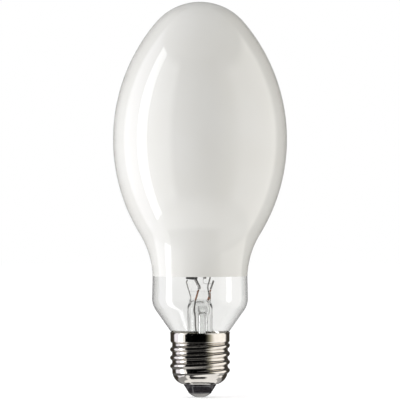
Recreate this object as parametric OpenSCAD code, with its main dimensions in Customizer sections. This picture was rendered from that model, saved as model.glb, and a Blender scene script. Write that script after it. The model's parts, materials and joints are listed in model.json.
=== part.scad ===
// High pressure sodium lamp with a coated ellipsoidal bulb and a screw cap.
// Millimetres, +Z up, origin on the outer face of the centre contact, front towards -Y.

/* [Outer bulb] */
// Largest diameter of the outer bulb
bulb_d = 76; // [74:0.5:79]
// Length from the centre contact to the top of the dome
overall_length = 172.5; // [168:0.5:176]
// Where the bulb is widest, as a share of the height from the waist to the top
widest_share = 0.504; // [0.48:0.002:0.52]
// Radius of the top of the dome, as a multiple of an ellipse's
dome_fullness = 1.05; // [1:0.01:1.1]
// Share of the hollow shoulder in the two radii between waist and widest place
shoulder_share = 0.32; // [0.28:0.01:0.36]
// Radius of the waist between bulb and neck
waist_r = 20.7; // [20:0.1:21.5]
// Height of the waist above the rim of the cap
waist_h = 23.3; // [22:0.1:24.5]
// How far the rounded corner under the waist stands out past it
corner_bulge = 0.2; // [0.1:0.05:0.3]
// Radius of that rounded corner
corner_r = 8.85; // [8:0.05:9.5]
// Slope of the neck cone, in degrees from the axis
cone_slope = 35; // [33:1:38]
// Radius of the fillet between neck cone and neck
neck_fillet_r = 5; // [4:0.5:6]
// Height of the lower end of the neck
neck_end_z = 14; // [13.5:0.1:15]
// Wall of the outer bulb
glass_wall = 0.8; // [0.6:0.1:1.2]

/* [Diffusing coating] */
// Height of the coating's lower edge above the waist
coating_stand = 1.3; // [0.5:0.1:8]
// Thickness of the coating
coating_t = 0.1; // [0.08:0.02:0.3]

/* [Cap shell] */
// Diameter over the thread crests
thread_d = 26.2; // [25.9:0.1:26.4]
// Depth of the rolled thread
thread_depth = 0.95; // [0.7:0.05:1.1]
// Pitch of the thread
thread_pitch = 3.62; // [3.4:0.02:3.8]
// Height of the lowest crest on the +X side
first_crest_z = 11.68; // [11.4:0.02:12]
// Height at which the thread runs out into the skirt
skirt_z = 24.5; // [24:0.1:25]
// How far the plain skirt lies inside the thread crests
skirt_inset = 0.15; // [0.05:0.05:0.3]
// Height of the skirt
skirt_h = 3.7; // [3.3:0.1:4.3]
// How far the rim flares out past the skirt
rim_flare = 0.25; // [0.15:0.05:0.4]
// Height of the flare at the rim
flare_h = 0.9; // [0.6:0.1:1.2]
// Depth of the cement ring below the foot of the skirt
cement_depth = 3; // [2:0.5:5]
// Sheet thickness of the shell
shell_wall = 0.25; // [0.2:0.01:0.3]
// Lowest point of the shell's rounded bottom
shell_bottom_z = 5.35; // [5.2:0.05:5.6]
// Radius of the rounded bottom
shell_round_r = 6; // [5.5:0.1:6.4]
// Diameter of the mouth in the rounded bottom
mouth_d = 14.2; // [13.6:0.1:14.8]

/* [Cap insulator] */
// Height of the top of the glass insulator
insulator_top_z = 8.2; // [7.6:0.1:9]
// Diameter of the hole for the centre lead
insulator_bore_d = 1.8; // [1.6:0.1:1.9]

/* [Centre contact] */
// Diameter of the dished contact
contact_d = 9.66; // [9:0.02:10.4]
// Height of the dish
contact_rise = 1.66; // [1.4:0.02:1.9]
// Diameter of its flat middle
contact_flat_d = 3.8; // [3.4:0.1:4.4]
// Sheet thickness of the contact
contact_wall = 0.35; // [0.3:0.01:0.5]
// Outer diameter of the eyelet
eyelet_d = 2.5; // [2.4:0.1:2.8]
// Hole through the eyelet
eyelet_bore_d = 1.9; // [1.5:0.1:2]
// Height of the top of the eyelet
eyelet_top_z = 4.2; // [3.6:0.1:4.8]

/* [Stem] */
// Outer diameter of the stem tube
stem_d = 11; // [10.8:0.1:11.6]
// Wall of the stem tube
stem_wall = 1; // [0.8:0.05:1.1]
// Height of the shoulder where the tube is closed
shoulder_z = 41.2; // [41:0.1:41.6]
// Radius of the rounded edge of the shoulder
shoulder_round_r = 2.2; // [1.5:0.1:2.6]
// Thickness of the glass under the shoulder
roof_t = 0.9; // [0.7:0.1:1.1]
// Height of the pinch between the shoulder and the flat press
pinch_h = 1.3; // [1.1:0.1:1.5]
// Height of the flat press
press_h = 3.7; // [3.5:0.1:4.1]
// Width of the press
press_w = 9.6; // [9.5:0.1:10.2]
// Thickness of the press
press_t = 3.6; // [3.4:0.1:4]

/* [Exhaust tube] */
// Outer diameter of the exhaust tube
exhaust_d = 3.5; // [3.2:0.1:3.7]
// Bore of the exhaust tube
exhaust_bore_d = 2.2; // [1.6:0.1:2.4]
// Offset of the exhaust tube from the axis
exhaust_x = 0.9; // [0.7:0.05:1]
// Height of its sealed tip
exhaust_tip_z = 10; // [9.8:0.1:11]

/* [Leads] */
// Diameter of the two seal wires in the press
seal_wire_d = 0.8; // [0.6:0.05:0.9]
// Height above the shoulder of the butt welds between outer leads and seal wires
seal_weld_h = 0.6; // [0.4:0.1:0.8]
// How far the seal wires stand out of the press
seal_stand = 0.7; // [0.5:0.1:0.9]
// Diameter of the outer lead to the centre contact
centre_lead_d = 0.6; // [0.4:0.05:0.7]
// Diameter of the outer lead to the rim of the cap
side_lead_d = 0.28; // [0.2:0.01:0.3]
// Direction in which the side lead leaves, in degrees from +X
side_lead_angle = 63; // [45:9:117]
// Diameter of the inner lead that carries the frame
centre_inner_d = 1.3; // [1.1:0.1:1.4]
// Diameter of the inner lead to the lower strap
side_inner_d = 0.8; // [0.6:0.05:0.9]

/* [Getter] */
// Outer diameter of the getter ring
getter_d = 5.1; // [4.8:0.1:5.2]
// Height of the getter channel
getter_h = 1.2; // [1:0.1:1.4]
// Width of the getter channel
getter_w = 1; // [0.8:0.1:1.2]
// Sheet thickness of the getter channel
getter_wall = 0.2; // [0.15:0.05:0.3]
// Tilt of the getter ring, in degrees
getter_tilt = 5; // [3:1:7]
// Diameter of the getter's support wire
getter_wire_d = 0.5; // [0.4:0.05:0.6]

/* [Arc tube] */
// Outer diameter of the ceramic arc tube
arc_tube_d = 7.6; // [7:0.1:8]
// Wall of the arc tube
arc_tube_wall = 0.75; // [0.6:0.05:0.8]
// Length of each end plug
plug_length = 4; // [3:0.5:5]
// Outer diameter of the niobium end tubes
niobium_d = 3; // [2.8:0.1:3.2]
// Wall of the niobium end tubes
niobium_wall = 0.25; // [0.2:0.05:0.3]
// How far the niobium tubes stand out of the arc tube
niobium_stand = 10.5; // [9:0.5:11]
// Diameter of the electrode rods
electrode_d = 0.9; // [0.7:0.1:1]
// Free length of the electrodes inside the arc tube
electrode_length = 6; // [5:0.5:8]
// Diameter of the amalgam pill
amalgam_d = 1.8; // [1.4:0.1:2]

/* [Frame] */
// Diameter of the frame rod
frame_rod_d = 1.3; // [1.1:0.1:1.4]
// Distance of the frame rod from the axis
frame_rod_x = 9.5; // [8.5:0.5:11]
// Distance of the top bar of the frame below the top of the dome
top_bar_drop = 14; // [13:0.5:15]
// Distance of the upper niobium tube below the axis of the top bar
top_bar_clearance = 7.5; // [5:0.5:9]
// Diameter of the rod that carries the lower end of the arc tube
lower_rod_d = 1.2; // [1:0.1:1.3]
// Height of the lower end of that rod above the press
lower_rod_h = 5.4; // [5.2:0.1:5.8]
// Length over which that rod lies along the niobium tube
lower_rod_lap = 6; // [4:0.5:8]
// Thickness of the straps
strap_t = 0.15; // [0.1:0.01:0.2]
// Width of the straps
strap_w = 1.6; // [1.2:0.1:1.8]
// Thickness of the dome springs
spring_t = 0.2; // [0.15:0.05:0.3]
// Width of the dome springs
spring_w = 3; // [2:0.5:4]

/* [Starting wire] */
// Diameter of the starting wire round the arc tube
starting_wire_d = 0.35; // [0.25:0.05:0.4]
// Number of turns of the starting wire
starting_turns = 6; // [4:1:8]
// Diameter of the wire that holds it
starting_support_d = 0.6; // [0.5:0.05:0.7]

/* [Fits] */
// Gap between pieces that are welded, fused or pressed together
joint_gap = 0.02; // [0.01:0.005:0.03]
// Gap between neck and shell, which the cement fills
neck_gap = 0.9; // [0.7:0.05:1.1]
// Gap between the neck cone and the inner edge of the rim
rim_gap = 0.376; // [0.36:0.002:0.5]
// Gap between the faceted shell and the glass moulded into it
mould_gap = 0.1; // [0.08:0.01:0.15]

/* [Hidden] */
$fn = 96;

// Thread: round crests and roots of one radius that meet at half depth
crest_r = thread_d / 2;
root_r = crest_r - thread_depth;
knuckle_r = (thread_pitch * thread_pitch / 4 + thread_depth * thread_depth) / (4 * thread_depth);
thread_start = -0.4;
thread_lead_in = 0.28;
thread_end = (skirt_z - first_crest_z) / thread_pitch + 0.06;
thread_run_out = 0.5;
shell_columns = 40;
rows_per_pitch = 10;
skirt_blend_h = 1.3;
skirt_d = thread_d - 2 * skirt_inset;
rim_d = skirt_d + 2 * rim_flare;
rim_z = skirt_z + skirt_h;
rim_in_r = rim_d / 2 - shell_wall;
shell_round = [root_r - shell_round_r, shell_bottom_z + shell_round_r];
mouth_angle = acos((mouth_d / 2 - shell_round[0]) / shell_round_r);
mouth_z = shell_round[1] - shell_round_r * sin(mouth_angle);

// Centre contact: height of the centre of its spherical dish and the dish's radius
dish_centre_z = (pow(contact_d / 2, 2) - pow(contact_flat_d / 2, 2) + pow(contact_rise, 2))
    / (2 * contact_rise);
dish_r = norm([contact_flat_d / 2, dish_centre_z]);

// Bulb outline: dome, upper side, lower side, shoulder, corner, cone and fillet, each tangent to the next
bulb_r = bulb_d / 2;
waist_z = rim_z + waist_h;
light_centre_z = waist_z + widest_share * (overall_length - waist_z);
dome_h = overall_length - light_centre_z;
dome_r = dome_fullness * bulb_r * bulb_r / dome_h;
upper_side_r = (bulb_r * bulb_r + dome_h * dome_h - 2 * dome_h * dome_r) / (2 * (bulb_r - dome_r));
dome_z = overall_length - dome_r;
dome_angle = atan2(abs(dome_z - light_centre_z), abs(upper_side_r - bulb_r));
waist_drop = light_centre_z - waist_z;
waist_step = bulb_r - waist_r;
flank_r = (waist_drop * waist_drop + waist_step * waist_step) / (2 * waist_step);
shoulder_r = shoulder_share * flank_r;
lower_side_r = flank_r - shoulder_r;
shoulder_angle = asin(waist_drop / flank_r);
corner_x = waist_r + corner_bulge - corner_r;
corner_z = rim_z + (corner_r + rim_gap - (rim_in_r - corner_x) * cos(cone_slope)) / sin(cone_slope);
corner_to_waist = [waist_r - corner_x, waist_z - corner_z];
corner_angle = atan2(corner_to_waist[1], corner_to_waist[0]) - acos(corner_r / norm(corner_to_waist));
neck_r = root_r - shell_wall - neck_gap;
fillet_x = neck_r + neck_fillet_r;
fillet_z = corner_z
    - (corner_r + neck_fillet_r - (fillet_x - corner_x) * cos(cone_slope)) / sin(cone_slope);

// Stem
stem_r = stem_d / 2;
flare_r = neck_r - glass_wall - joint_gap - stem_r;
roof_z = shoulder_z - roof_t;
press_foot_z = shoulder_z + pinch_h;
press_top_z = press_foot_z + press_h;
exhaust_top_z = shoulder_z - 0.3;
seal_weld_z = shoulder_z + seal_weld_h;
seal_foot_z = seal_weld_z + joint_gap + seal_wire_d / 6;
seal_top_z = press_top_z + seal_stand;

// Routes of the leads in the press, from front view positions, each with its depth
centre_lead_x = -2.05;
centre_lead_y = -0.8;
side_lead_x = 3.3;
side_lead_y = 0.6;
centre_seal_route = [
    [centre_lead_x, centre_lead_y, seal_foot_z],
    [-0.6, -0.2, seal_top_z]
];
side_seal_route = [
    [side_lead_x, side_lead_y, seal_foot_z],
    [4.65, side_lead_y, seal_top_z]
];
centre_inner_y = side_lead_y - 0.7;
centre_inner_route = [
    [-0.45, centre_inner_y, seal_top_z + joint_gap + 0.15],
    [-0.25, centre_inner_y, seal_top_z + 1],
    [-2, centre_inner_y, seal_top_z + 4.3],
    [-2.6, centre_inner_y, seal_top_z + 7.6]
];
side_inner_route = [
    [4.68, side_lead_y, seal_top_z + joint_gap + 0.1],
    [5.3, side_lead_y, seal_top_z + 2],
    [5.95, side_lead_y, seal_top_z + 3.9]
];
getter_centre = [-3.65, -3.3, press_top_z + 5.8];
getter_weld = getter_centre + around((getter_d - getter_w) / 2, 152, -getter_h / 2);
getter_wire_y = -press_t / 2 - 0.5;
getter_wire_route = [
    [-4.15, getter_wire_y, shoulder_z - 1.2],
    [-4.15, getter_wire_y, press_top_z - 2.2],
    [-5.95, getter_wire_y, press_top_z + 4],
    getter_weld - [0, 0, 0.2]
];
starting_support_foot = [4.05, -0.8, press_top_z - 2.8];
starting_support_bend = [3.3, -0.8, press_top_z + 2.2];
side_bead_z = rim_z - 1.1;
side_bead_r = rim_d / 2 + side_lead_d / 2 + 0.08;

// Arc tube, centred on the widest place of the bulb under the top bar
top_bar_z = overall_length - top_bar_drop;
niobium_high_z = top_bar_z - top_bar_clearance;
arc_high_z = niobium_high_z - niobium_stand;
arc_low_z = 2 * light_centre_z - arc_high_z;
arc_tube_r = arc_tube_d / 2;
plug_r = arc_tube_r - arc_tube_wall - joint_gap;
niobium_r = niobium_d / 2;
niobium_length = niobium_stand + plug_length + 0.5;
electrode_seat = 0.8;
electrode_hold = 3;
frit_h = 0.6;
niobium_low_z = arc_low_z - niobium_stand;
starting_steps = 20;
starting_wire_r = (arc_tube_r + starting_wire_d / 2 + joint_gap) / cos(180 / starting_steps);
starting_low_z = arc_low_z + plug_length;
starting_high_z = arc_high_z - plug_length;

// Frame
lap_y = centre_inner_y + (centre_inner_d + frame_rod_d) / 2 + joint_gap;
lower_rod_z = press_top_z + lower_rod_h;
lower_rod_x = niobium_r + lower_rod_d / 2 + joint_gap;
strap_z = press_top_z + 3.2;
strap_y = 0.45;
spring_r = dome_r - glass_wall - coating_t - 0.2;

// Point at radius r and angle a round the point c of a plane
function polar(c, r, a) = [c[0] + r * cos(a), c[1] + r * sin(a)];

// Arc of n steps round c, from angle a to angle b
function arc(c, r, a, b, n) = [for (i = [0:n]) polar(c, r, a + (b - a) * i / n)];

// The same arc without its first point, to follow on from another curve
function arc_on(c, r, a, b, n) = [for (i = [1:n]) polar(c, r, a + (b - a) * i / n)];

// Value that rises smoothly from 0 to 1 as u does
function smooth(u) = let(v = max(0, min(1, u))) v * v * (3 - 2 * v);

function unit(v) = v / norm(v);

function reversed(v) = [for (i = [len(v) - 1:-1:0]) v[i]];

// Point at radius r, angle a and height z round the lamp's axis
function around(r, a, z) = [r * cos(a), r * sin(a), z];

// Half outline of the bulb from the dome to the neck's end, moved inwards by t
function bulb_outline(t) = concat(
    arc([0, dome_z], dome_r - t, 90, dome_angle, 16),
    arc_on([bulb_r - upper_side_r, light_centre_z], upper_side_r - t, dome_angle, 0, 16),
    arc_on([bulb_r - lower_side_r, light_centre_z], lower_side_r - t, 0, -shoulder_angle, 12),
    arc_on([waist_r + shoulder_r, waist_z], shoulder_r + t, 180 - shoulder_angle, 180, 12),
    arc([corner_x, corner_z], corner_r - t, corner_angle, -cone_slope, 8),
    neck_outline(t)
);

// The last part of that outline: fillet and straight neck
function neck_outline(t) = concat(
    arc([fillet_x, fillet_z], neck_fillet_r + t, 180 - cone_slope, 180, 7),
    [[neck_r - t, neck_end_z]]
);

// Bends a route: each inner point becomes a short curve that starts and ends at most r from it
function bent(route, r) = concat(
    [route[0]],
    [for (i = [1:1:len(route) - 2])
        let(
            back = route[i - 1] - route[i],
            ahead = route[i + 1] - route[i],
            reach = min(r, norm(back) * 0.45, norm(ahead) * 0.45),
            a = route[i] + unit(back) * reach,
            b = route[i] + unit(ahead) * reach
        )
        for (u = [0:0.25:1]) (1 - u) * (1 - u) * a + 2 * u * (1 - u) * route[i] + u * u * b
    ],
    [route[len(route) - 1]]
);

// Direction of a path at its point i
function heading(path, i) =
    unit(path[min(i + 1, len(path) - 1)] - path[max(i - 1, 0)]);

// Part of v that is square to the direction d
function square_to(v, d) = unit(v - (v * d) * d);

// One normal for each point of a path, carried along it without twist
function normals(path) = [
    for (
        i = 0, n = square_to([0.31, 0.95, 0.11], heading(path, 0));
        i < len(path);
        i = i + 1, n = i < len(path) ? square_to(n, heading(path, i)) : n
    ) n
];

// Two triangles for each cell of a grid of rows whose columns close into a ring
function grid_faces(rows, columns, first, outward) = [
    for (i = [0:rows - 2], j = [0:columns - 1])
        let(
            k = (j + 1) % columns,
            a = first + i * columns + j,
            b = first + i * columns + k,
            c = first + (i + 1) * columns + k,
            d = first + (i + 1) * columns + j
        )
        each outward ? [[a, d, c], [a, c, b]] : [[a, b, c], [a, c, d]]
];

// Triangles between two rings of the same number of points
function ring_faces(first, second, columns) = [
    for (j = [0:columns - 1])
        let(k = (j + 1) % columns)
        each [[first + j, first + k, second + k], [first + j, second + k, second + j]]
];

// Round wire of diameter d along a path
module wire(path, d, sides = 8) {
    side = normals(path);
    points = [
        for (i = [0:len(path) - 1])
            let(across = cross(heading(path, i), side[i]))
            for (j = [0:sides - 1])
                path[i] + d / 2 * (cos(j * 360 / sides) * side[i] + sin(j * 360 / sides) * across)
    ];
    last = (len(path) - 1) * sides;
    caps = [for (j = [1:sides - 2]) each [[0, j, j + 1], [last, last + j + 1, last + j]]];
    polyhedron(points, concat(grid_faces(len(path), sides, 0, true), caps));
}

// Straight round rod between two points
module rod(a, b, d) {
    v = b - a;
    translate(a)
        rotate([0, acos(v[2] / norm(v)), atan2(v[1], v[0])])
            cylinder(h = norm(v), d = d);
}

// Hole for a wire of diameter d that lies between two points
module wire_hole(a, b, d) {
    over = 0.1 * unit(b - a);
    rod(a - over, b + over, d + 2 * joint_gap);
}

// Strip of thickness t and width w that follows points of the XZ plane, centred on y
module strip(points, t, w, y = 0) {
    sides = [
        for (i = [0:len(points) - 1])
            let(
                v = unit(points[min(i + 1, len(points) - 1)] - points[max(i - 1, 0)]),
                before = unit(points[max(i, 1)] - points[max(i, 1) - 1]),
                square = [-v[1], v[0]]
            )
            square * t / 2 / max(0.5, abs(v * before))
    ];
    outline = concat(
        [for (i = [0:len(points) - 1]) points[i] + sides[i]],
        reversed([for (i = [0:len(points) - 1]) points[i] - sides[i]])
    );
    translate([0, y + w / 2, 0])
        rotate([90, 0, 0])
            linear_extrude(w) polygon(outline);
}

// Blown glass bulb, one wall from the dome to the open end of the neck
module outer_bulb() {
    color("whitesmoke", 0.35)
        rotate_extrude()
            polygon(concat(bulb_outline(0), reversed(bulb_outline(glass_wall))));
}

// White powder layer inside the bulb, which ends in a sharp line above the neck
module diffusing_coating() {
    inner = glass_wall + joint_gap;
    color("white")
        rotate_extrude()
            intersection() {
                polygon(concat(bulb_outline(inner), reversed(bulb_outline(inner + coating_t))));
                translate([0, waist_z + coating_stand])
                    square([bulb_d, overall_length]);
            }
}

// Height of the rolled thread above its root, dz from the crest, on the face moved in by t
function ridge(dz, t) =
    abs(dz) < thread_pitch / 4 * (knuckle_r - t) / knuckle_r
    ? thread_depth - knuckle_r + sqrt(pow(knuckle_r - t, 2) - dz * dz)
    : knuckle_r - sqrt(pow(knuckle_r + t, 2) - pow(thread_pitch / 2 - abs(dz), 2));

// Share of the full thread depth at a number of turns from the first crest
function thread_share(turns) =
    smooth((turns - thread_start) / thread_lead_in) * smooth((thread_end - turns) / thread_run_out);

// Radius of the shell where its plain radius is r, at height z, a share of a turn from +X
function shell_r(r, z, t, turn) =
    let(
        at = (z - first_crest_z) / thread_pitch,
        turns = round(at - turn) + turn,
        share = thread_share(turns),
        plain = min(r, root_r - t)
    )
    max(r, plain + share * (ridge((at - turns) * thread_pitch, t) + t));

// Plain profile of the shell from mouth to rim, moved inwards by t
function shell_profile(t) =
    let(rows = ceil((skirt_z - shell_round[1]) / thread_pitch * rows_per_pitch))
    concat(
        arc(shell_round, shell_round_r - t, -mouth_angle, -mouth_angle / 9, 8),
        [for (i = [0:rows])
            let(z = shell_round[1] + (skirt_z - shell_round[1]) * i / rows)
            [root_r - t + (skirt_d / 2 - root_r) * smooth((z - skirt_z) / skirt_blend_h + 1), z]
        ],
        [
            [skirt_d / 2 - t, rim_z - flare_h],
            [(skirt_d + rim_d) / 4 - t, rim_z - flare_h / 3],
            [rim_d / 2 - t, rim_z]
        ]
    );

// One face of the shell as points, row by row
function shell_points(t) = [
    for (p = shell_profile(t), j = [0:shell_columns - 1])
        let(r = shell_r(p[0], p[1], t, j / shell_columns))
        around(r, j * 360 / shell_columns, p[1])
];

// Pressed sheet shell with its rolled knuckle thread, hollow inside to the same form
module cap_shell() {
    rows = len(shell_profile(0));
    inner = rows * shell_columns;
    last = (rows - 1) * shell_columns;
    color("silver")
        polyhedron(
            concat(shell_points(0), shell_points(shell_wall)),
            concat(
                grid_faces(rows, shell_columns, 0, true),
                grid_faces(rows, shell_columns, inner, false),
                ring_faces(0, inner, shell_columns),
                ring_faces(inner + last, last, shell_columns)
            )
        );
}

// Dish from the flat to the radius r, moved inwards by t
function dish(t, r) =
    let(
        from = asin(contact_flat_d / 2 / dish_r) - 90,
        to = asin(r / (dish_r - t)) - 90
    )
    arc([0, dish_centre_z], dish_r - t, from, to, 8);

// Black glass moulded into the mouth of the shell, with a stepped hole for the lead
module cap_insulator() {
    in_r = shell_round_r - shell_wall - mould_gap;
    top_angle = -asin((shell_round[1] - insulator_top_z) / in_r);
    low_angle = -acos((mouth_d / 2 - 0.12 - shell_round[0]) / in_r);
    under = contact_wall + joint_gap;
    under_z = dish_centre_z - sqrt(pow(dish_r - under, 2) - pow(contact_flat_d / 2, 2));
    eyelet_hole_r = eyelet_d / 2 + joint_gap * 2;
    color("black")
        rotate_extrude()
            polygon(concat(
                [[insulator_bore_d / 2, insulator_top_z]],
                arc(shell_round, in_r, top_angle, low_angle, 8),
                [
                    [mouth_d / 2 - 0.12, mouth_z - 0.05],
                    [mouth_d / 2, mouth_z - 0.12],
                    [contact_d / 2 + 0.1, contact_rise + 0.05]
                ],
                reversed(dish(under, contact_d / 2 - under)),
                [
                    [eyelet_hole_r, under_z],
                    [eyelet_hole_r, eyelet_top_z + joint_gap],
                    [insulator_bore_d / 2, eyelet_top_z + joint_gap]
                ]
            ));
}

// Dished contact plate with the eyelet that holds it in the insulator
module centre_contact() {
    color("lightgray")
        rotate_extrude()
            polygon(concat(
                [[eyelet_bore_d / 2, 0]],
                dish(0, contact_d / 2),
                reversed(dish(contact_wall, contact_d / 2 - contact_wall)),
                [
                    [eyelet_d / 2, contact_wall],
                    [eyelet_d / 2, eyelet_top_z],
                    [eyelet_bore_d / 2, eyelet_top_z]
                ]
            ));
}

// Solder that closes the eyelet round the end of the centre lead
module contact_solder() {
    color("gray")
        difference() {
            translate([0, 0, 0.05])
                cylinder(h = contact_wall + 1.2, d = eyelet_bore_d - 2 * joint_gap);
            translate([0, 0, contact_wall])
                cylinder(h = 3, d = centre_lead_d + 2 * joint_gap);
        }
}

// Ring of cement between neck and shell, with a channel for the side lead
module cap_cement() {
    low_z = skirt_z - cement_depth;
    low_r = root_r - shell_wall - 0.08;
    high_r = skirt_d / 2 - shell_wall - 0.06;
    outer = [
        [low_r, low_z],
        [low_r, skirt_z - skirt_blend_h + 0.4],
        [high_r, skirt_z + 0.4],
        [high_r, fillet_z + neck_fillet_r * sin(cone_slope)]
    ];
    inner = neck_outline(-joint_gap);
    color("tan")
        difference() {
            rotate_extrude()
                intersection() {
                    polygon(concat(outer, inner, [[neck_r + joint_gap, low_z]]));
                    translate([0, low_z])
                        square([thread_d, rim_z]);
                }
            rotate([0, 0, side_lead_angle])
                translate([neck_r - 1, -side_lead_d / 2 - 0.05, low_z - 1])
                    cube([2.3, side_lead_d + 0.1, rim_z]);
        }
}

// Bead of solder on the rim where the side lead ends
module side_solder() {
    color("gray")
        difference() {
            translate(around(side_bead_r, side_lead_angle, side_bead_z))
                sphere(r = 0.85);
            cylinder(h = overall_length, d = rim_d + 0.06);
            translate(around(side_bead_r, side_lead_angle, side_bead_z))
                cylinder(h = 2, d = side_lead_d + 0.06);
        }
}

// Stem: flared tube fused to the neck, closed by a shoulder and pinched into the flat press
module stem() {
    flare_centre = [stem_r + flare_r, neck_end_z + stem_wall + flare_r];
    roof_round = 1.2;
    inner_r = stem_r - stem_wall;
    pinch_drop = shoulder_round_r * (1 - sin(45));
    tube = concat(
        [[flare_centre[0], neck_end_z]],
        reversed(arc(flare_centre, flare_r, 180, 270, 10)),
        arc([stem_r - shoulder_round_r, shoulder_z - shoulder_round_r], shoulder_round_r, 0, 90, 8),
        [[0, shoulder_z], [0, roof_z]],
        arc([inner_r - roof_round, roof_z - roof_round], roof_round, 90, 0, 4),
        arc(flare_centre, flare_r + stem_wall, 180, 268, 10)
    );
    color("lightcyan", 0.4)
        difference() {
            union() {
                rotate_extrude() polygon(tube);
                hull() {
                    translate([0, 0, shoulder_z - pinch_drop - 0.1])
                        cylinder(h = 0.1, r = stem_r - pinch_drop - 0.05, $fn = 32);
                    press_slab(press_foot_z, press_foot_z + 0.1);
                }
                press_slab(press_foot_z, press_top_z);
            }
            wire_hole(centre_seal_route[0], centre_seal_route[1], seal_wire_d);
            wire_hole(side_seal_route[0], side_seal_route[1], seal_wire_d);
            translate([centre_lead_x, centre_lead_y, roof_z - 1])
                cylinder(h = seal_weld_z - roof_z + 1, d = centre_lead_d + 2 * joint_gap);
            translate([side_lead_x, side_lead_y, roof_z - 1])
                cylinder(h = seal_weld_z - roof_z + 1, d = side_lead_d + 2 * joint_gap);
            wire_hole(getter_wire_route[0], getter_wire_route[1], getter_wire_d);
            wire_hole(starting_support_foot, starting_support_bend, starting_support_d);
            translate([exhaust_x, 0, roof_z - 2])
                cylinder(h = exhaust_top_z - roof_z + 2, d = exhaust_d + 2 * joint_gap);
            rod([exhaust_x, 0, exhaust_top_z - 0.4], [exhaust_x + 0.5, -2.6, press_foot_z + 1.4],
                exhaust_bore_d);
        }
}

// Flat part of the press between two heights, with rounded edges
module press_slab(low, high) {
    edge_r = press_t / 2 - 0.2;
    hull()
        for (x = [-1, 1])
            translate([x * (press_w / 2 - edge_r), 0, low])
                cylinder(h = high - low, r = edge_r, $fn = 32);
    translate([-press_w / 2 + edge_r, -press_t / 2, low])
        cube([press_w - 2 * edge_r, press_t, high - low]);
}

// Glass tube through which the bulb was pumped, sealed at its tip inside the cap
module exhaust_tube() {
    tip_r = exhaust_d / 2;
    bore_r = exhaust_bore_d / 2;
    tip_wall = 1.4;
    color("lightcyan", 0.4)
        translate([exhaust_x, 0, 0])
            rotate_extrude()
                polygon(concat(
                    arc([0, exhaust_tip_z + tip_r], tip_r, -90, 0, 8),
                    [[tip_r, exhaust_top_z - joint_gap], [bore_r, exhaust_top_z - joint_gap]],
                    arc([0, exhaust_tip_z + tip_wall + bore_r], bore_r, 0, -90, 6)
                ));
}

// Lead from the press down the stem and through the insulator to the centre contact
module centre_outer_lead() {
    top = [centre_lead_x, centre_lead_y, seal_weld_z];
    color("dimgray")
        wire(bent([
            top,
            [centre_lead_x, centre_lead_y, shoulder_z - 9],
            [centre_lead_x + 0.45, centre_lead_y, shoulder_z - 12],
            [centre_lead_x + 0.45, centre_lead_y, exhaust_tip_z + 1.5],
            [0, 0, insulator_top_z - 0.3],
            [0, 0, contact_wall + joint_gap]
        ], 1.5), centre_lead_d);
}

// Thin lead from the press, under the end of the neck and up over the rim of the shell
module side_outer_lead() {
    off = rim_gap / 2;
    up = [sin(cone_slope), cos(cone_slope)];
    under_z = neck_end_z - 1;
    crossing = [rim_in_r, rim_z] + off * [-cos(cone_slope), sin(cone_slope)] + 0.45 * up;
    beside_neck = [
        for (p = concat(
            arc([fillet_x, fillet_z], neck_fillet_r - off, 180, 180 - cone_slope, 4),
            [crossing]
        )) around(p[0], side_lead_angle, p[1])
    ];
    low = bent([
        [side_lead_x, side_lead_y, seal_weld_z],
        [side_lead_x, side_lead_y, neck_end_z + 6],
        around(5, side_lead_angle, under_z),
        around(neck_r + off, side_lead_angle, under_z),
        around(neck_r + off, side_lead_angle, under_z + 2)
    ], 0.8);
    high = bent([
        around(crossing[0], side_lead_angle, crossing[1]),
        around(side_bead_r, side_lead_angle, crossing[1] + 0.15),
        around(side_bead_r, side_lead_angle, side_bead_z + 0.05)
    ], 0.3);
    color("dimgray")
        wire(concat(low, beside_neck, [for (i = [1:len(high) - 1]) high[i]]), side_lead_d);
}

// Wire that seals in the press and leads to the frame
module centre_seal_wire() {
    color("peru") rod(centre_seal_route[0], centre_seal_route[1], seal_wire_d);
}

// Wire that seals in the press and leads to the lower strap
module side_seal_wire() {
    color("peru") rod(side_seal_route[0], side_seal_route[1], seal_wire_d);
}

// Stiff inner lead, butt-welded to its seal wire, which carries the frame
module centre_inner_lead() {
    color("lightslategray") wire(bent(centre_inner_route, 0.8), centre_inner_d, 12);
}

// Inner lead that holds one end of the lower strap
module side_inner_lead() {
    color("lightslategray") wire(bent(side_inner_route, 0.6), side_inner_d);
}

// Thin wire from the press to the getter ring
module getter_support() {
    color("lightslategray") wire(bent(getter_wire_route, 0.6), getter_wire_d);
}

// Ring of channel section, open at the top, that held the getter metal
module getter_ring() {
    color("darkslategray")
        translate(getter_centre)
            rotate([0, getter_tilt, 0])
                rotate_extrude()
                    translate([getter_d / 2 - getter_w, -getter_h / 2])
                        difference() {
                            square([getter_w, getter_h]);
                            translate([getter_wall, getter_wall])
                                square([getter_w - 2 * getter_wall, getter_h]);
                        }
}

// Rod welded behind the stiff lead, up beside the arc tube and across under the dome
module frame_rod() {
    weld = centre_inner_route[2];
    above = centre_inner_route[3];
    color("lightslategray")
        wire(bent([
            [weld[0], lap_y, weld[2]],
            [above[0], lap_y, above[2]],
            [-frame_rod_x, 0, above[2] + 8],
            [-frame_rod_x, 0, top_bar_z],
            [frame_rod_x, 0, top_bar_z]
        ], 5), frame_rod_d);
}

// Rod welded along the lower niobium tube, which carries the arc tube
module lower_support_rod() {
    color("lightslategray")
        translate([lower_rod_x, 0, lower_rod_z])
            cylinder(h = niobium_low_z + lower_rod_lap - lower_rod_z, d = lower_rod_d);
}

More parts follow.
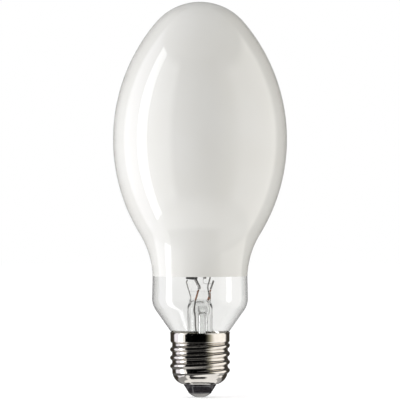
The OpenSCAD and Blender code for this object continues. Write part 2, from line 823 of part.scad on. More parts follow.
// Thin strap from the side inner lead to the lower support rod
module lower_strap() {
    rod_face = lower_rod_x - lower_rod_d / 2 - joint_gap - strap_t / 2;
    lead_face = side_inner_route[1][0] - side_inner_d / 2 + 0.1;
    color("lightgray")
        strip([
            [lead_face, strap_z],
            [rod_face + 0.9, strap_z],
            [rod_face + 0.3, strap_z + 0.3],
            [rod_face, strap_z + 0.9],
            [rod_face, lower_rod_z + 2.9]
        ], strap_t, strap_w, strap_y);
}

// Thin hoop of strap from the frame rod to the upper niobium tube
module upper_strap() {
    rod_face = -frame_rod_x + frame_rod_d / 2 + joint_gap + strap_t / 2;
    tube_face = -niobium_r - joint_gap - strap_t / 2;
    middle = (rod_face + tube_face) / 2;
    hoop_r = (tube_face - rod_face) / 2;
    low = niobium_high_z - 6.5;
    color("lightgray")
        strip(concat(
            [[rod_face, low]],
            arc([middle, low + 1.5], hoop_r, 180, 0, 12),
            [[tube_face, low]]
        ), strap_t, strap_w);
}

// Leaf spring on the top bar, bent to bear on the inside of the dome
module dome_spring() {
    seat_z = top_bar_z + frame_rod_d / 2 + joint_gap + spring_t / 2;
    touch = asin((seat_z + 1.1 - dome_z) / spring_r);
    curl = touch + 17;
    foot = polar([0, dome_z], spring_r, touch);
    color("lightgray")
        strip(concat(
            [[3.5, seat_z], [frame_rod_x + 0.8, seat_z]],
            [[foot[0] - 4, seat_z - 0.6], [foot[0] - 0.9, foot[1] - 1.3]],
            arc([0, dome_z], spring_r, touch, curl, 5),
            [polar([0, dome_z], spring_r - 1.2, curl + 4)]
        ), spring_t, spring_w);
}

module dome_spring_left() {
    mirror([1, 0, 0]) dome_spring();
}

module dome_spring_right() {
    dome_spring();
}

// Translucent ceramic tube in which the discharge burns
module arc_tube() {
    color("ivory")
        translate([0, 0, arc_low_z])
            difference() {
                cylinder(h = arc_high_z - arc_low_z, r = arc_tube_r);
                translate([0, 0, -1])
                    cylinder(h = arc_high_z - arc_low_z + 2, r = arc_tube_r - arc_tube_wall);
            }
}

// Places one end's pieces, drawn from the outer face of the arc tube inwards along +Z
module at_lower_end() {
    translate([0, 0, arc_low_z]) children();
}

module at_upper_end() {
    translate([0, 0, arc_high_z]) mirror([0, 0, 1]) children();
}

// Ceramic plug in the end of the arc tube, bored for the niobium tube
module end_plug() {
    color("seashell")
        difference() {
            cylinder(h = plug_length, r = plug_r);
            translate([0, 0, -1])
                cylinder(h = plug_length + 2, r = niobium_r + joint_gap);
        }
}

// Metal tube through the plug, closed outside and drilled inside for the electrode
module niobium_tube() {
    bore_r = niobium_r - niobium_wall;
    color("gray")
        translate([0, 0, -niobium_stand])
            difference() {
                cylinder(h = niobium_length, r = niobium_r);
                translate([0, 0, electrode_seat])
                    cylinder(h = niobium_length - 2 * electrode_seat, r = bore_r);
                translate([0, 0, electrode_seat])
                    cylinder(h = niobium_length, r = electrode_d / 2 + joint_gap);
            }
}

// Electrode rod with the turns of its coil
module electrode() {
    seat_z = niobium_length - niobium_stand;
    coil_wire_d = 0.5;
    coil_z = seat_z + electrode_length - 1;
    color("dimgray") {
        translate([0, 0, seat_z - electrode_hold])
            cylinder(h = electrode_hold + electrode_length, d = electrode_d);
        for (i = [0:4])
            translate([0, 0, coil_z - i * coil_wire_d * 1.2])
                rotate_extrude()
                    translate([electrode_d / 2 + coil_wire_d * 0.4, 0])
                        circle(d = coil_wire_d, $fn = 24);
    }
}

// Ring of sealing glass round the niobium tube on the face of the plug
module frit_seal() {
    color("beige")
        rotate_extrude()
            polygon([
                [niobium_r + joint_gap, -joint_gap],
                [plug_r - 0.3, -joint_gap],
                [plug_r - 0.5, -frit_h / 2],
                [niobium_r + joint_gap, -frit_h]
            ]);
}

module lower_end_plug() {
    at_lower_end() end_plug();
}

module upper_end_plug() {
    at_upper_end() end_plug();
}

module lower_niobium_tube() {
    at_lower_end() niobium_tube();
}

module upper_niobium_tube() {
    at_upper_end() niobium_tube();
}

module lower_electrode() {
    at_lower_end() electrode();
}

module upper_electrode() {
    at_upper_end() electrode();
}

module lower_frit_seal() {
    at_lower_end() frit_seal();
}

module upper_frit_seal() {
    at_upper_end() frit_seal();
}

// Pill of sodium amalgam in the lower niobium tube
module amalgam_pill() {
    color("silver")
        translate([0, 0, niobium_low_z + electrode_seat + amalgam_d / 2 + joint_gap])
            sphere(d = amalgam_d);
}

// Starting wire wound along the arc tube
module starting_wire() {
    steps = starting_turns * starting_steps;
    color("slategray")
        wire([
            for (i = [0:steps])
                around(starting_wire_r, i * 360 / starting_steps,
                    starting_low_z + (starting_high_z - starting_low_z) * i / steps)
        ], starting_wire_d, 6);
}

// Wire from the press that holds the lower end of the starting wire
module starting_wire_support() {
    side_x = starting_wire_r + starting_wire_d / 2 + starting_support_d / 2 + joint_gap;
    color("lightslategray")
        wire(bent([
            starting_support_foot,
            starting_support_bend,
            [4, -0.9, starting_support_bend[2] + 1.9],
            [side_x + 1.7, -0.9, starting_support_bend[2] + 12],
            [side_x + 1.7, -0.5, starting_low_z - 12],
            [side_x, 0, starting_low_z - 3],
            [side_x, 0, starting_low_z + 2.5]
        ], 1), starting_support_d);
}

outer_bulb();
diffusing_coating();
cap_shell();
cap_insulator();
centre_contact();
contact_solder();
cap_cement();
side_solder();
stem();
exhaust_tube();
centre_outer_lead();
side_outer_lead();
centre_seal_wire();
side_seal_wire();
centre_inner_lead();
side_inner_lead();
getter_support();
getter_ring();
frame_rod();
lower_support_rod();
lower_strap();
upper_strap();
dome_spring_left();
dome_spring_right();
arc_tube();
lower_end_plug();
upper_end_plug();
lower_niobium_tube();
upper_niobium_tube();
lower_electrode();
upper_electrode();
lower_frit_seal();
upper_frit_seal();
amalgam_pill();
starting_wire();
starting_wire_support();
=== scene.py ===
import json
import math

import bpy
from mathutils import Matrix, Vector


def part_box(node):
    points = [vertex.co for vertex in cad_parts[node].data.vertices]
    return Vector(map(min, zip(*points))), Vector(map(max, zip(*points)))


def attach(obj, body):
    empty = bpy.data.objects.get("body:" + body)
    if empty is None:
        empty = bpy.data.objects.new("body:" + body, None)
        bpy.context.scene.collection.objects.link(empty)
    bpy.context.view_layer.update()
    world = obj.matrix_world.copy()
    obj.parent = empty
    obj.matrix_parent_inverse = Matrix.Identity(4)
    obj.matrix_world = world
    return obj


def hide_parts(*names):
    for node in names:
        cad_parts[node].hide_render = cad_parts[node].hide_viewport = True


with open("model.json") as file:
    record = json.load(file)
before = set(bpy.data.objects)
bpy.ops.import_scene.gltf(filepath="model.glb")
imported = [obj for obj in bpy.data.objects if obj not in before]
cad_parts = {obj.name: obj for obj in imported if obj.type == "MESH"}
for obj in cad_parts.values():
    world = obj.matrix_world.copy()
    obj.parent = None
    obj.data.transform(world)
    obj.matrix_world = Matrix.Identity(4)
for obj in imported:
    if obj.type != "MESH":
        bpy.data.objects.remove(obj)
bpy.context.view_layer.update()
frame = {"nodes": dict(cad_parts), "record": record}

# Finish of a high pressure sodium lamp: clear glass bulb with a white coating inside,
# rolled nickel cap, black cap glass, stem and wires. Metres, +Z up, front towards -Y.

MM = 0.001

# Sizes taken from the frame
BULB_LOW, BULB_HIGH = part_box("outer_bulb")
SHELL_LOW, SHELL_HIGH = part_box("cap_shell")
STEM_LOW, STEM_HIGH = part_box("stem")
CONTACT_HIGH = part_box("centre_contact")[1]
INSULATOR_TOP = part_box("cap_insulator")[1].z
GETTER_LOW, GETTER_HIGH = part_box("getter_ring")
ROD_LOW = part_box("lower_support_rod")[0]
STRAP_LOW, STRAP_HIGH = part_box("lower_strap")
IGNITION_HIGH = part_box("starting_wire_support")[1]
EXHAUST_LOW, EXHAUST_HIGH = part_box("exhaust_tube")
COATING_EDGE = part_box("diffusing_coating")[0].z
BULB_R = -BULB_LOW.x
TOP_Z = BULB_HIGH.z
NECK_END_Z = BULB_LOW.z
RIM_Z = SHELL_HIGH.z
RIM_R = SHELL_HIGH.x
PRESS_TOP = STEM_HIGH.z

# Bulb outline
WIDEST_SHARE = 0.504
DOME_FULLNESS = 1.05
SHOULDER_SHARE = 0.32
WAIST_R = 20.7 * MM
WAIST_Z = 51.5 * MM
CORNER_BULGE = 0.2 * MM
CORNER_R = 8.85 * MM
CONE_SLOPE = 35
FILLET_R = 5 * MM
NECK_R = 11 * MM
GLASS_WALL = 0.8 * MM
COATING_T = 0.1 * MM
JOINT_GAP = 0.02 * MM
RIM_GAP = 0.376 * MM

# Cap thread
CREST_R = 13.1 * MM
THREAD_DEPTH = 0.95 * MM
PITCH = 3.62 * MM
FIRST_CREST_Z = 11.68 * MM
SKIRT_Z = 24.5 * MM
SKIRT_R = 12.95 * MM
SKIRT_BLEND = 1.3 * MM
FLARE_H = 0.9 * MM
SHELL_WALL = 0.25 * MM
ROUND_R = 6 * MM
MOUTH_R = 7.1 * MM
ROOT_R = CREST_R - THREAD_DEPTH

# Run-in and run-out of the thread, in turns from the first crest
FIRST_TURN = -0.4
RUN_IN = 0.28
LAST_TURN = (SKIRT_Z - FIRST_CREST_Z) / PITCH + 0.06
RUN_OUT = 0.5

# Centre contact with its eyelet, and the cone of the cap glass: (radius, height) in millimetres
CONTACT_R = CONTACT_HIGH.x
CONTACT_TOP = CONTACT_HIGH.z
CONTACT_WALL = 0.35 * MM
CONTACT_RISE = 1.66 * MM
CONTACT_FLAT_R = 1.9 * MM
EYELET_R = 1.25 * MM
HOLE_R = 0.95 * MM
DISH_Z = (CONTACT_R ** 2 - CONTACT_FLAT_R ** 2 + CONTACT_RISE ** 2) / (2 * CONTACT_RISE)
DISH_R = math.hypot(CONTACT_FLAT_R, DISH_Z)
GLASS_CONE = ((6.95, 5.02), (6.6, 4.5), (5.15, 2.15), (4.98, 1.82))

# Stem: tube, press and the roof of the hollow under the press, from its top down:
# (half width, half depth, height) in millimetres
TUBE_R = 5.5 * MM
TUBE_WALL = 1 * MM
PRESS_HALF = (4.75 * MM, 1.8 * MM)
PRESS_EDGE = 0.35 * MM
PRESS_POWER = 4.4
ROOF = (
    (0.03, 0.02, 42.3), (0.8, 0.06, 42.25), (1.7, 0.11, 42.1), (2.5, 0.18, 41.8), (3.0, 0.28, 41.4),
    (3.3, 0.42, 40.9), (3.55, 0.66, 40.2), (3.75, 1.02, 39.5), (3.95, 1.5, 38.8), (4.15, 2.1, 38.1),
    (4.3, 2.8, 37.4), (4.4, 3.5, 36.7), (4.46, 4.05, 36), (4.49, 4.38, 35.2),
)

# Wires: radii, then the heights that their routes share, and their depths in millimetres
SEAL_WIRE_R = 0.4 * MM
STIFF_LEAD_R = 0.65 * MM
STRAP_LEAD_R = 0.4 * MM
GETTER_WIRE_R = 0.25 * MM
THIN_WIRE_R = 0.3 * MM
SEAL_TOP = PRESS_TOP + 0.7 * MM
WELD_Z = 41.8 * MM
SEAL_FOOT = WELD_Z + 0.153 * MM
STIFF_LEAD_Y = -0.1
SIDE_LEAD_Y = 0.6
FRONT_Y = -0.8
GETTER_Y = -2.3

# Photograph's frame
PIXEL = 0.4368 * MM
PIXELS_ACROSS = 400
EYE_Z = 86 * MM
EYE_DISTANCE = 1.45

# Studio: colours of light, and the azimuth of the seam behind the lamp
WHITE = (1, 1, 1)
COOL = (0.955, 0.96, 1.0)
WARM = (1.0, 0.975, 0.94)
LILAC = (0.91, 0.90, 1.0)
OLIVE = (1.0, 0.96, 0.72)
BROWN = (1.0, 0.86, 0.72)
BEHIND = 179.9


def polar(centre, radius, degrees):
    """Point of a plane at an angle round a centre."""
    a = math.radians(degrees)
    return (centre[0] + radius * math.cos(a), centre[1] + radius * math.sin(a))


def arc(centre, radius, start, end, steps):
    """Points along an arc, both ends included."""
    return [polar(centre, radius, start + (end - start) * i / steps) for i in range(steps + 1)]


def smooth(u):
    """Rises from 0 to 1 without a kink as u does."""
    v = min(max(u, 0.0), 1.0)
    return v * v * (3 - 2 * v)


def bulb_profile(inset):
    """Half outline of the bulb from the dome's top to the neck's end, moved inwards."""
    centre_z = WAIST_Z + WIDEST_SHARE * (TOP_Z - WAIST_Z)
    dome_h = TOP_Z - centre_z
    dome_r = DOME_FULLNESS * BULB_R ** 2 / dome_h
    upper_r = (BULB_R ** 2 + dome_h ** 2 - 2 * dome_h * dome_r) / (2 * (BULB_R - dome_r))
    dome_z = TOP_Z - dome_r
    dome_angle = math.degrees(math.atan2(dome_z - centre_z, upper_r - BULB_R))
    drop = centre_z - WAIST_Z
    step = BULB_R - WAIST_R
    flank_r = (drop ** 2 + step ** 2) / (2 * step)
    shoulder_r = SHOULDER_SHARE * flank_r
    lower_r = flank_r - shoulder_r
    shoulder_angle = math.degrees(math.asin(drop / flank_r))
    slope = math.radians(CONE_SLOPE)
    corner_x = WAIST_R + CORNER_BULGE - CORNER_R
    rim_in_r = RIM_R - SHELL_WALL
    corner_z = RIM_Z + (CORNER_R + RIM_GAP - (rim_in_r - corner_x) * math.cos(slope)) / math.sin(slope)
    to_waist = (WAIST_R - corner_x, WAIST_Z - corner_z)
    corner_angle = math.degrees(
        math.atan2(to_waist[1], to_waist[0]) - math.acos(CORNER_R / math.hypot(*to_waist))
    )
    fillet = (NECK_R + FILLET_R, 0)
    fillet_z = corner_z - (
        CORNER_R + FILLET_R - (fillet[0] - corner_x) * math.cos(slope)
    ) / math.sin(slope)
    points = arc((0, dome_z), dome_r - inset, 90, dome_angle, 26)
    points += arc((BULB_R - upper_r, centre_z), upper_r - inset, dome_angle, 0, 40)[1:]
    points += arc((BULB_R - lower_r, centre_z), lower_r - inset, 0, -shoulder_angle, 32)[1:]
    points += arc((WAIST_R + shoulder_r, WAIST_Z), shoulder_r + inset, 180 - shoulder_angle, 180, 24)[1:]
    points += arc((corner_x, corner_z), CORNER_R - inset, corner_angle, -CONE_SLOPE, 18)
    points += arc((fillet[0], fillet_z), FILLET_R + inset, 180 - CONE_SLOPE, 180, 12)
    points.append((NECK_R - inset, NECK_END_Z))
    points[0] = (0.0, points[0][1])
    return points


def mesh_object(name, points, faces, sharp=35):
    """A smooth-shaded mesh piece with sharp edges where faces meet at more than an angle."""
    mesh = bpy.data.meshes.new(name)
    mesh.from_pydata([tuple(p) for p in points], [], faces)
    mesh.validate()
    mesh.update()
    mesh.polygons.foreach_set("use_smooth", [True] * len(mesh.polygons))
    mesh.set_sharp_from_angle(angle=math.radians(sharp))
    piece = bpy.data.objects.new(name, mesh)
    bpy.context.scene.collection.objects.link(piece)
    return piece


def band(low, high, count):
    """Quads between two rings of as many points, given each ring's first point."""
    turns = [(j, (j + 1) % count) for j in range(count)]
    return [(low + j, low + k, high + k, high + j) for j, k in turns]


def swept(name, rings, sharp):
    """A piece through rings of as many points each, closed at both ends."""
    points = [p for ring in rings for p in ring]
    count = len(rings[0])
    last = len(points) - count
    faces = []
    for low in range(0, last, count):
        faces += band(low, low + count, count)
    faces.append(tuple(range(count - 1, -1, -1)))
    faces.append(tuple(range(last, last + count)))
    return mesh_object(name, points, faces, sharp)


def lathe(name, profile, columns=192, closed=False, centre=(0, 0), sharp=35):
    """Turns a profile of (radius, z) points round a vertical axis.

    Points on the axis become one vertex. A closed profile joins its last point to its first.
    """
    points = []
    rings = []
    for r, z in profile:
        if r < 1e-9:
            rings.append([len(points)])
            points.append((centre[0], centre[1], z))
            continue
        rings.append(list(range(len(points), len(points) + columns)))
        for j in range(columns):
            a = 2 * math.pi * j / columns
            points.append((centre[0] + r * math.cos(a), centre[1] + r * math.sin(a), z))
    pairs = list(zip(rings, rings[1:]))
    if closed:
        pairs.append((rings[-1], rings[0]))
    faces = []
    for upper, lower in pairs:
        for j in range(columns):
            k = (j + 1) % columns
            if len(upper) == 1:
                faces.append((upper[0], lower[j], lower[k]))
            elif len(lower) == 1:
                faces.append((upper[j], lower[0], upper[k]))
            else:
                faces.append((upper[j], lower[j], lower[k], upper[k]))
    return mesh_object(name, points, faces, sharp)


def bent(route, reach):
    """A route of corner points with each inner corner rounded by a short curve."""
    route = [Vector(p) for p in route]
    path = [route[0]]
    for before, corner, after in zip(route, route[1:], route[2:]):
        back = before - corner
        ahead = after - corner
        r = min(reach, back.length * 0.45, ahead.length * 0.45)
        a = corner + back.normalized() * r
        b = corner + ahead.normalized() * r
        for i in range(9):
            u = i / 8
            path.append((1 - u) ** 2 * a + 2 * u * (1 - u) * corner + u * u * b)
    path.append(route[-1])
    return path


def tube(name, path, radius, sides=20, end_round=0.25):
    """A round wire along a path, with slightly rounded ends."""
    start = (path[1] - path[0]).normalized()
    stop = (path[-1] - path[-2]).normalized()
    lip = radius * end_round
    stations = [(path[0], start, radius - lip), (path[0] + start * lip, start, radius)]
    for before, spot, after in zip(path, path[1:], path[2:]):
        stations.append((spot, (after - before).normalized(), radius))
    stations += [(path[-1] - stop * lip, stop, radius), (path[-1], stop, radius - lip)]
    normal = Vector((0.31, 0.95, 0.11))
    rings = []
    for spot, along, r in stations:
        normal = (normal - along * normal.dot(along)).normalized()
        across = along.cross(normal)
        turns = [2 * math.pi * j / sides for j in range(sides)]
        rings.append([spot + (normal * math.cos(a) + across * math.sin(a)) * r for a in turns])
    return swept(name, rings, sharp=50)


def calculate(tree, operation, *values):
    """Result of a math node in a tree, its inputs numbers or sockets."""
    node = tree.nodes.new("ShaderNodeMath")
    node.operation = operation
    for socket, value in zip(node.inputs, values):
        if isinstance(value, bpy.types.NodeSocket):
            tree.links.new(value, socket)
        else:
            socket.default_value = value
    return node.outputs[0]


class Nodes:
    """Short ways to add and link shader nodes in one material."""

    def __init__(self, name):
        self.material = bpy.data.materials.new(name)
        self.material.use_nodes = True
        self.tree = self.material.node_tree
        self.tree.nodes.clear()
        self.out = self.add("ShaderNodeOutputMaterial")
        self.coordinates = self.add("ShaderNodeTexCoord").outputs["Object"]

    def add(self, kind, **inputs):
        """A new node with some of its inputs set or linked."""
        node = self.tree.nodes.new(kind)
        for key, value in inputs.items():
            self.put(node, key.replace("_", " "), value)
        return node

    def put(self, node, key, value):
        """Sets an input, or links it if the value is a socket."""
        socket = node.inputs[key]
        if isinstance(value, bpy.types.NodeSocket):
            self.tree.links.new(value, socket)
        else:
            socket.default_value = value

    def noise(self, scale, detail=3.0, stretch=(1, 1, 1)):
        """Noise between 0 and 1 in object space, scale in features a metre."""
        mapping = self.add("ShaderNodeMapping", Vector=self.coordinates, Scale=stretch)
        node = self.add("ShaderNodeTexNoise", Vector=mapping.outputs[0], Scale=scale, Detail=detail)
        return node.outputs["Fac"]

    def between(self, factor, low, high):
        """A number that runs from low to high as factor runs over its middle range."""
        node = self.add("ShaderNodeMapRange", Value=factor)
        node.inputs["From Min"].default_value = 0.3
        node.inputs["From Max"].default_value = 0.7
        node.inputs["To Min"].default_value = low
        node.inputs["To Max"].default_value = high
        return node.outputs["Result"]

    def colour(self, factor, low, high):
        """A colour between low and high."""
        node = self.add("ShaderNodeMix")
        node.data_type = "RGBA"
        share = self.between(factor, 0.0, 1.0)
        self.tree.links.new(share, node.inputs["Factor"])
        node.inputs[6].default_value = (*low, 1)
        node.inputs[7].default_value = (*high, 1)
        return node.outputs[2]

    def bump(self, height, strength, distance):
        """A normal roughened by a height."""
        node = self.add("ShaderNodeBump", Height=height, Strength=strength, Distance=distance)
        return node.outputs["Normal"]

    def calculate(self, operation, *values):
        """Result of a math node."""
        return calculate(self.tree, operation, *values)

    def mixed(self, share, first, second):
        """Shader that goes from one to another with a share."""
        node = self.add("ShaderNodeMixShader")
        for key, value in enumerate((share, first, second)):
            self.put(node, key, value)
        return node.outputs[0]

    def finish(self, shader):
        """The material with its surface set."""
        self.tree.links.new(shader, self.out.inputs["Surface"])
        return self.material


def principled(n, **inputs):
    """A Principled shader node with the given sockets."""
    shader = n.add("ShaderNodeBsdfPrincipled")
    for key, value in inputs.items():
        n.put(shader, key.replace("_", " "), value)
    return shader.outputs[0]


def glass_material(name, tint, waviness):
    """Clear blown glass that lets lamps and bounced light reach what it covers."""
    n = Nodes(name)
    wave = n.noise(60, 2)
    shader = principled(
        n,
        Base_Color=(*tint, 1),
        Roughness=0.0,
        IOR=1.5,
        Transmission_Weight=1.0,
        Normal=n.bump(wave, waviness, 0.0004),
    )
    rays = n.add("ShaderNodeLightPath").outputs
    lighting = n.calculate("MAXIMUM", rays["Is Shadow Ray"], rays["Is Diffuse Ray"])
    clear = n.add("ShaderNodeBsdfTransparent", Color=(0.97, 0.97, 0.97, 1))
    return n.finish(n.mixed(lighting, shader, clear.outputs[0]))


def coating_material():
    """Fine white powder, a little uneven in tone, with a matt grain."""
    n = Nodes("white_coating")
    cloud = n.noise(28, 4)
    grain = n.noise(5200, 2)
    return n.finish(principled(
        n,
        Base_Color=n.colour(cloud, (0.70, 0.69, 0.655), (0.735, 0.73, 0.705)),
        Roughness=n.between(grain, 0.75, 0.95),
        Specular_IOR_Level=0.1,
        Normal=n.bump(grain, 0.25, 0.00004),
    ))


def metal_material(name, low, high, rough, scratch=900):
    """Metal with uneven tone, polish marks and a fine bump."""
    n = Nodes(name)
    tone = n.noise(140, 4)
    marks = n.noise(scratch, 5)
    return n.finish(principled(
        n,
        Base_Color=n.colour(tone, low, high),
        Metallic=1.0,
        Roughness=n.between(marks, rough[0], rough[1]),
        Normal=n.bump(marks, 0.12, 0.00003),
    ))


def dull_material(name, low, high, rough):
    """Ceramic, cement and the like: uneven tone and a grainy surface."""
    n = Nodes(name)
    tone = n.noise(220, 4)
    grains = n.noise(1500, 4)
    return n.finish(principled(
        n,
        Base_Color=n.colour(tone, low, high),
        Roughness=n.between(grains, rough[0], rough[1]),
        Specular_IOR_Level=0.4,
        Normal=n.bump(grains, 0.3, 0.00008),
    ))


def black_glass_material():
    """Glossy black moulded glass with faint flow marks."""
    n = Nodes("black_glass")
    flow = n.noise(500, 4, (1, 1, 2.5))
    return n.finish(principled(
        n,
        Base_Color=n.colour(flow, (0.008, 0.007, 0.009), (0.03, 0.026, 0.028)),
        Roughness=n.between(flow, 0.04, 0.12),
        Coat_Weight=0.5,
        Coat_Roughness=0.05,
        Normal=n.bump(flow, 0.25, 0.00012),
    ))


MATERIALS = {
    "clear_glass": glass_material("clear_glass", (0.946, 0.946, 0.937), 0.05),
    "white_coating": coating_material(),
    "nickel_plate": metal_material("nickel_plate", (0.56, 0.53, 0.49), (0.66, 0.63, 0.585), (0.05, 0.13)),
    "black_glass": black_glass_material(),
    "contact_metal": metal_material("contact_metal", (0.13, 0.12, 0.12), (0.24, 0.23, 0.22), (0.25, 0.45)),
    "solder": metal_material("solder", (0.30, 0.30, 0.31), (0.42, 0.42, 0.42), (0.3, 0.5), 700),
    "cement": dull_material("cement", (0.50, 0.45, 0.36), (0.62, 0.57, 0.46), (0.8, 0.95)),
    "lead_wire": metal_material("lead_wire", (0.06, 0.05, 0.05), (0.12, 0.11, 0.10), (0.3, 0.5)),
    "seal_wire": metal_material("seal_wire", (0.50, 0.22, 0.12), (0.66, 0.36, 0.24), (0.25, 0.45)),
    "frame_steel": metal_material("frame_steel", (0.30, 0.29, 0.28), (0.46, 0.45, 0.44), (0.12, 0.3)),
    "getter_metal": metal_material("getter_metal", (0.05, 0.05, 0.05), (0.12, 0.12, 0.12), (0.3, 0.55)),
    "strap_metal": metal_material("strap_metal", (0.52, 0.51, 0.48), (0.64, 0.63, 0.60), (0.2, 0.34)),
    "alumina": dull_material("alumina", (0.80, 0.78, 0.70), (0.88, 0.86, 0.80), (0.35, 0.5)),
    "niobium": metal_material("niobium", (0.34, 0.34, 0.35), (0.46, 0.46, 0.47), (0.3, 0.45)),
    "tungsten": metal_material("tungsten", (0.16, 0.16, 0.17), (0.26, 0.26, 0.27), (0.3, 0.5)),
    "frit": dull_material("frit", (0.70, 0.66, 0.54), (0.80, 0.77, 0.66), (0.2, 0.35)),
    "amalgam": metal_material("amalgam", (0.56, 0.57, 0.59), (0.66, 0.67, 0.69), (0.1, 0.25)),
    "stem_glass": glass_material("stem_glass", (0.985, 0.99, 0.985), 0.03),
}


def dress_nodes():
    """Gives each carried-over CAD node its slot's material, and the flat outer lead the strap's."""
    for part in frame["record"]["subparts"]:
        node = frame["nodes"][part["node"]]
        node.data.materials.clear()
        node.data.materials.append(MATERIALS[part["material_slot"]])
    frame["nodes"]["side_outer_lead"].data.materials[0] = MATERIALS["strap_metal"]


def settle(piece, slot, *nodes, look=None):
    """Finishes a piece that stands for CAD nodes: its slot's material or another look, the root body, and
    the nodes hidden.
    """
    piece.data.materials.append(MATERIALS[look or slot])
    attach(piece, "root")
    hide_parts(*nodes)


def make_bulb():
    """Clear outer bulb: both faces of the glass as one closed shell."""
    profile = bulb_profile(0) + bulb_profile(GLASS_WALL)[::-1]
    settle(lathe("bulb_glass", profile, 224), "clear_glass", "outer_bulb")


def make_coating():
    """Powder layer on the inside of the bulb, down to its sharp lower edge."""

    def above_edge(inset):
        profile = bulb_profile(inset)
        kept = [p for p in profile if p[1] > COATING_EDGE]
        below = profile[len(kept)]
        share = (kept[-1][1] - COATING_EDGE) / (kept[-1][1] - below[1])
        kept.append((kept[-1][0] + (below[0] - kept[-1][0]) * share, COATING_EDGE))
        return kept

    outer = above_edge(GLASS_WALL - JOINT_GAP)
    inner = above_edge(GLASS_WALL + JOINT_GAP + COATING_T)
    settle(lathe("powder_coating", outer + inner[::-1], 192), "white_coating", "diffusing_coating")


def knuckle(dz, inset):
    """Height of the rolled thread over its root, dz from the crest, on a face moved inwards."""
    radius = (PITCH ** 2 / 4 + THREAD_DEPTH ** 2) / (4 * THREAD_DEPTH)
    if abs(dz) < PITCH / 4 * (radius - inset) / radius:
        return THREAD_DEPTH - radius + math.sqrt((radius - inset) ** 2 - dz * dz)
    return radius - math.sqrt((radius + inset) ** 2 - (PITCH / 2 - abs(dz)) ** 2)


def shell_radius(plain, z, inset, turn):
    """Radius of the cap shell with its thread, at a share of a turn from +X."""
    at = (z - FIRST_CREST_Z) / PITCH
    turns = round(at - turn) + turn
    share = smooth((turns - FIRST_TURN) / RUN_IN) * smooth((LAST_TURN - turns) / RUN_OUT)
    base = min(plain, ROOT_R - inset)
    return max(plain, base + share * (knuckle((at - turns) * PITCH, inset) + inset))


def shell_profile(inset):
    """Plain profile of the cap shell from its mouth to its rim."""
    centre = (ROOT_R - ROUND_R, SHELL_LOW.z + ROUND_R)
    mouth = math.degrees(math.acos((MOUTH_R - centre[0]) / ROUND_R))
    rows = 118
    points = arc(centre, ROUND_R - inset, -mouth, -1, 30)
    for i in range(rows + 1):
        z = centre[1] + (SKIRT_Z - centre[1]) * i / rows
        step = (SKIRT_R - ROOT_R) * smooth((z - SKIRT_Z) / SKIRT_BLEND + 1)
        points.append((ROOT_R - inset + step, z))
    flare = RIM_R - SKIRT_R
    for i in range(6):
        u = i / 5
        points.append((SKIRT_R - inset + flare * u * u, RIM_Z - FLARE_H * (1 - u)))
    return points


def make_shell():
    """Pressed cap shell with its rolled thread, both faces of the sheet."""
    columns = 216
    outer = shell_profile(0)
    inner = shell_profile(SHELL_WALL)
    points = []
    for profile, inset in ((outer, 0), (inner[::-1], SHELL_WALL)):
        for plain, z in profile:
            for j in range(columns):
                a = 2 * math.pi * j / columns
                r = shell_radius(plain, z, inset, j / columns)
                points.append((r * math.cos(a), r * math.sin(a), z))
    rows = len(outer) + len(inner)
    faces = []
    for i in range(rows):
        faces += band(i * columns, (i + 1) % rows * columns, columns)
    settle(mesh_object("rolled_shell", points, faces, sharp=60), "nickel_plate", "cap_shell")


def point(x, y, z):
    """Point of a wire's route, x and y in millimetres and z in metres."""
    return Vector((x * MM, y * MM, z))


def make_seal_wires():
    """Two seal wires that slant through the press."""
    ends = {
        "centre_seal": (point(-2.05, FRONT_Y, SEAL_FOOT), point(-0.6, -0.2, SEAL_TOP)),
        "side_seal": (point(3.3, SIDE_LEAD_Y, SEAL_FOOT), point(4.65, SIDE_LEAD_Y, SEAL_TOP)),
    }
    for name, (foot, head) in ends.items():
        piece = tube(name, [foot, (foot + head) / 2, head], SEAL_WIRE_R)
        settle(piece, "seal_wire", f"{name}_wire")


def make_inner_leads():
    """Stiff lead from the middle of the press, and the thinner one that holds the strap."""
    inner = bent([
        point(-0.45, STIFF_LEAD_Y, SEAL_TOP + 0.17 * MM),
        point(-0.25, STIFF_LEAD_Y, SEAL_TOP + 1 * MM),
        point(-2, STIFF_LEAD_Y, SEAL_TOP + 4.3 * MM),
        point(-2.6, STIFF_LEAD_Y, SEAL_TOP + 7.6 * MM),
    ], 0.8 * MM)
    settle(tube("stiff_lead", inner, STIFF_LEAD_R, 24), "frame_steel", "centre_inner_lead")
    side = bent([
        point(4.68, SIDE_LEAD_Y, SEAL_TOP + 0.12 * MM),
        point(5.3, SIDE_LEAD_Y, SEAL_TOP + 2 * MM),
        point(5.95, SIDE_LEAD_Y, SEAL_TOP + 3.9 * MM),
    ], 0.6 * MM)
    settle(tube("strap_lead", side, STRAP_LEAD_R), "frame_steel", "side_inner_lead")


def make_getter_wire():
    """Wire from the press to its weld on the getter ring."""
    ring = (GETTER_LOW + GETTER_HIGH) / 2
    weld_angle = math.radians(152)
    weld_r = 2.05 * MM
    weld = Vector((
        ring.x + weld_r * math.cos(weld_angle),
        ring.y + weld_r * math.sin(weld_angle),
        PRESS_TOP + 5 * MM,
    ))
    route = bent([
        point(-4.15, GETTER_Y, 40 * MM),
        point(-4.15, GETTER_Y, PRESS_TOP - 2.2 * MM),
        point(-5.95, GETTER_Y, PRESS_TOP + 4 * MM),
        weld,
    ], 0.6 * MM)
    settle(tube("getter_wire", route, GETTER_WIRE_R), "frame_steel", "getter_support")


